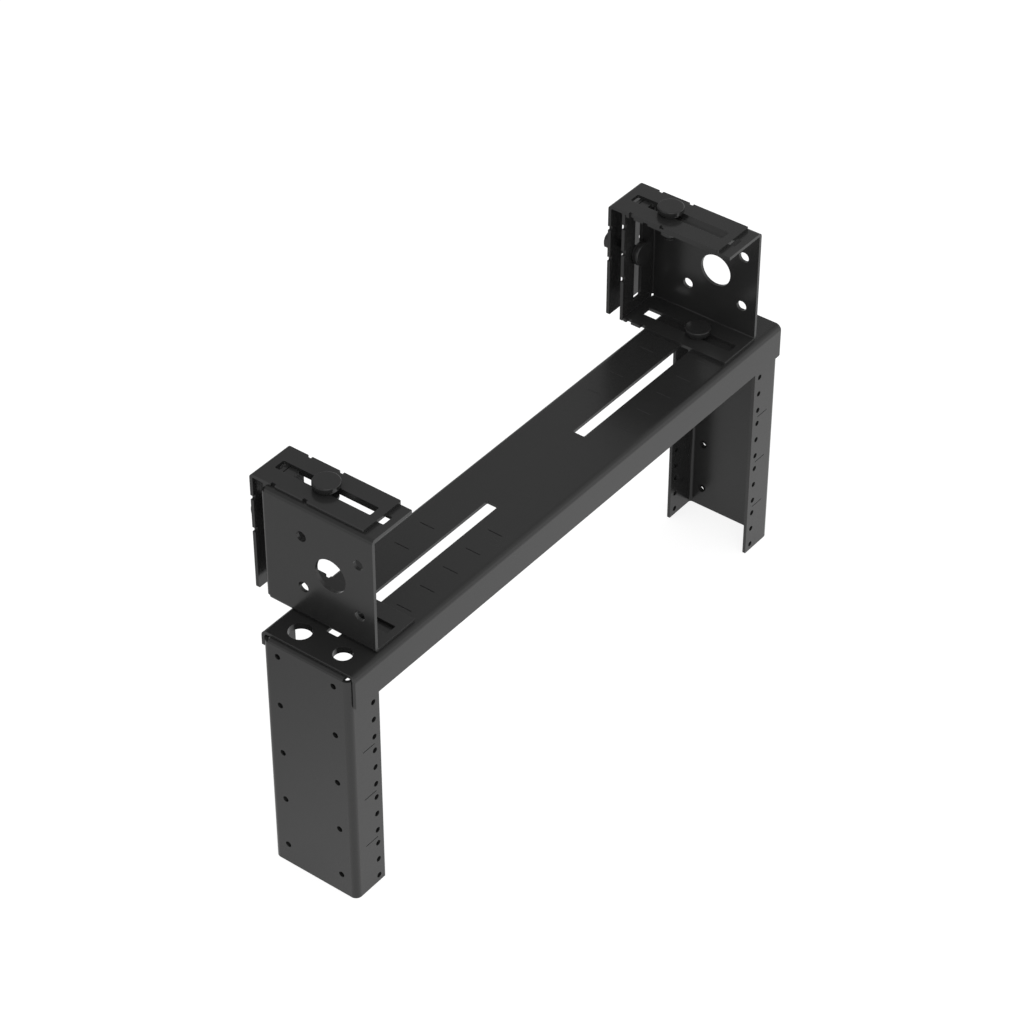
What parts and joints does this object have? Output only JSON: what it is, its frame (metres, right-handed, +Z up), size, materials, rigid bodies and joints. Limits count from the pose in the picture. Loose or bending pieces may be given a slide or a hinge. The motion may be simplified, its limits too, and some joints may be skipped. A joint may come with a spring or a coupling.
{
  "type": "two post open frame rack",
  "caption": "Head of an open frame equipment rack: channel posts with unit holes under a slotted folded header that carries adjustable overhead brackets.",
  "frame": {"origin": "under the middle of the whole part, at the level of the posts' feet", "axes": "+X across the rack to the right as seen from the front, +Y from the front to the rear, +Z up"},
  "size_m": [0.5148, 0.129, 0.3158],
  "materials": {
    "coat": "satin black powder coat on folded steel sheet",
    "screw": "satin black coated steel screws with round flat heads",
    "hardware": "black zinc plating"
  },
  "bodies": {
    "root": {"header": "coat", "post_left": "coat", "post_right": "coat", "bracket_left": "coat", "bracket_right": "coat", "slide_angle_left": "coat", "slide_angle_right": "coat", "base_screw_left": "screw", "base_collar_left": "hardware", "base_washer_left": "hardware", "base_nut_left": "hardware", "top_screw_left": "screw", "top_collar_left": "hardware", "top_washer_left": "hardware", "top_nut_left": "hardware", "rear_screw_left": "screw", "rear_collar_left": "hardware", "rear_washer_left": "hardware", "rear_nut_left": "hardware", "base_screw_right": "screw", "base_collar_right": "hardware", "base_washer_right": "hardware", "base_nut_right": "hardware", "top_screw_right": "screw", "top_collar_right": "hardware", "top_washer_right": "hardware", "top_nut_right": "hardware", "rear_screw_right": "screw", "rear_collar_right": "hardware", "rear_washer_right": "hardware", "rear_nut_right": "hardware"}
  },
  "joints": []
}
